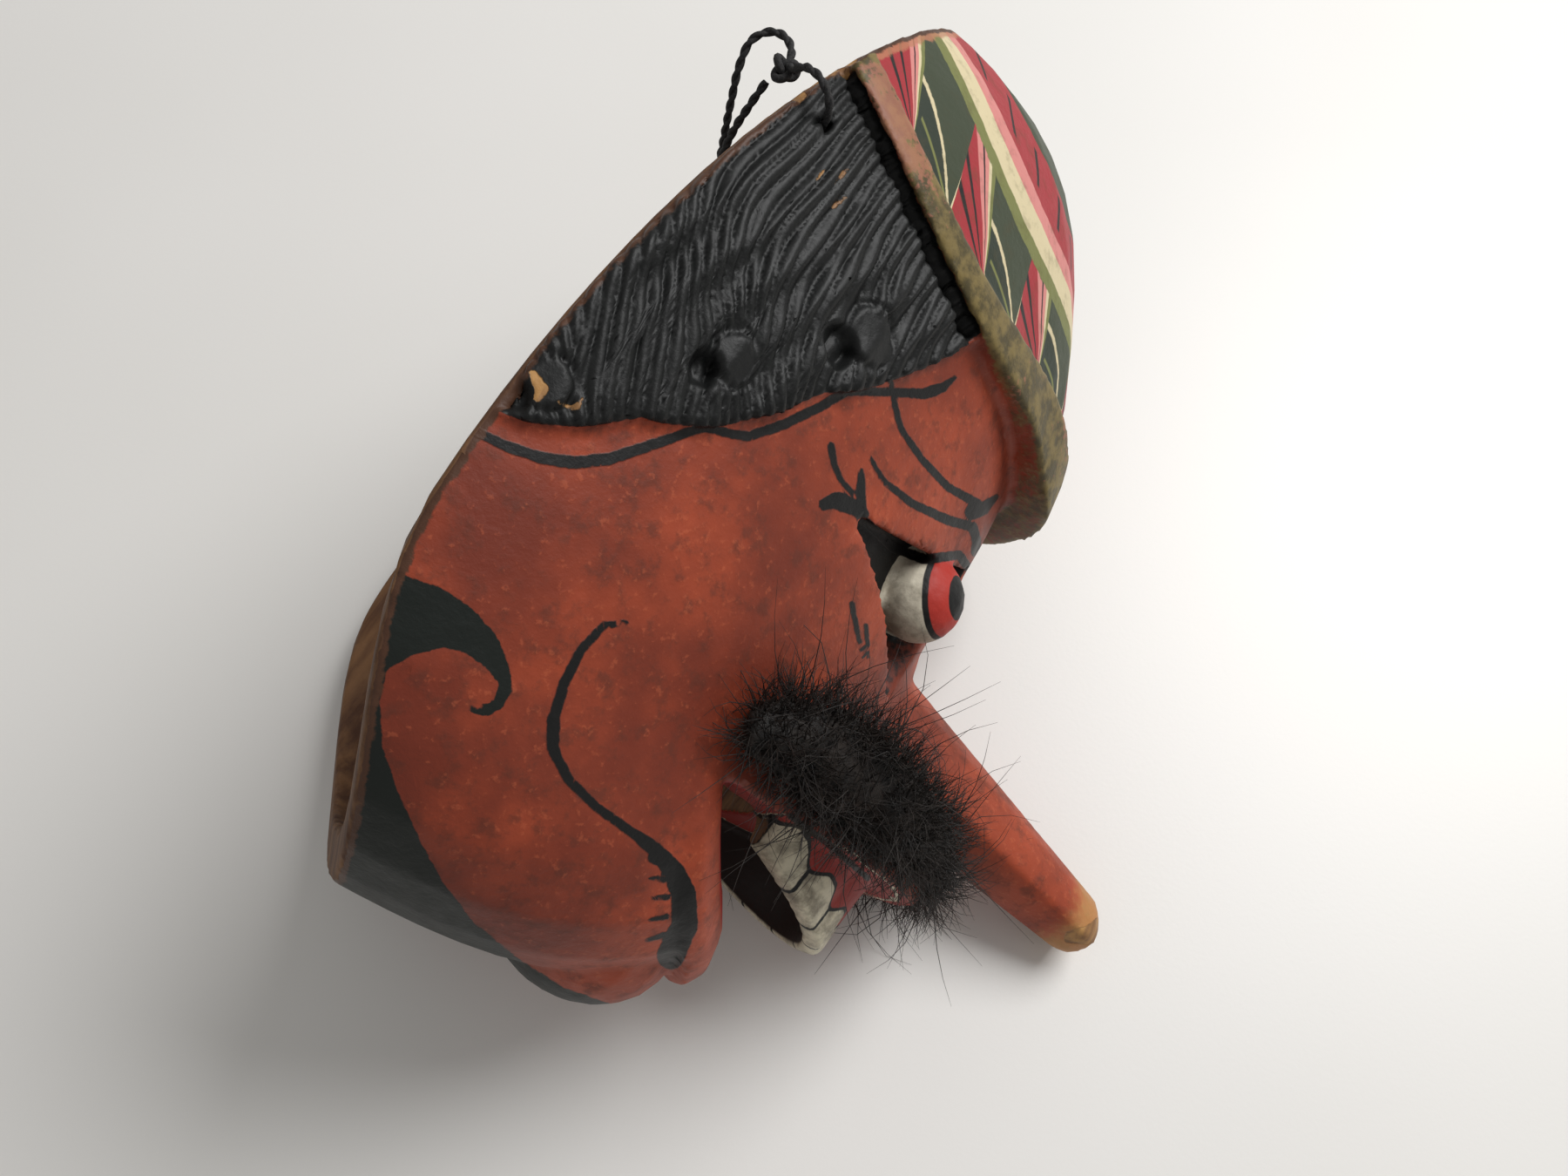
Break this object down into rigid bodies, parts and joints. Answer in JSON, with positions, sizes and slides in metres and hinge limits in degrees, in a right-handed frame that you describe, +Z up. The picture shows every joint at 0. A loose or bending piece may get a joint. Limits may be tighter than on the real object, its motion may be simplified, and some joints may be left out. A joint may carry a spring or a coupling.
{
  "type": "carved theatre mask",
  "caption": "Carved and painted wooden theatre mask with a long peg nose, gaping mouth, fur moustache and hanging cord, hollow behind for a wearer's face.",
  "frame": {"origin": "middle of the footprint of the mask lying on its left side, on the table", "axes": "+Z up off the table, out of the mask's right side; +Y towards its crown; +X forwards along its face"},
  "size_m": [0.177, 0.2068, 0.1315],
  "materials": {
    "painted_wood": "worn satin paint",
    "fur": "dark animal fur",
    "cord": "black twisted string"
  },
  "bodies": {
    "root": {"mask_body": "painted_wood", "moustache": "fur", "hanging_cord": "cord", "cord_tail": "cord"}
  },
  "joints": []
}
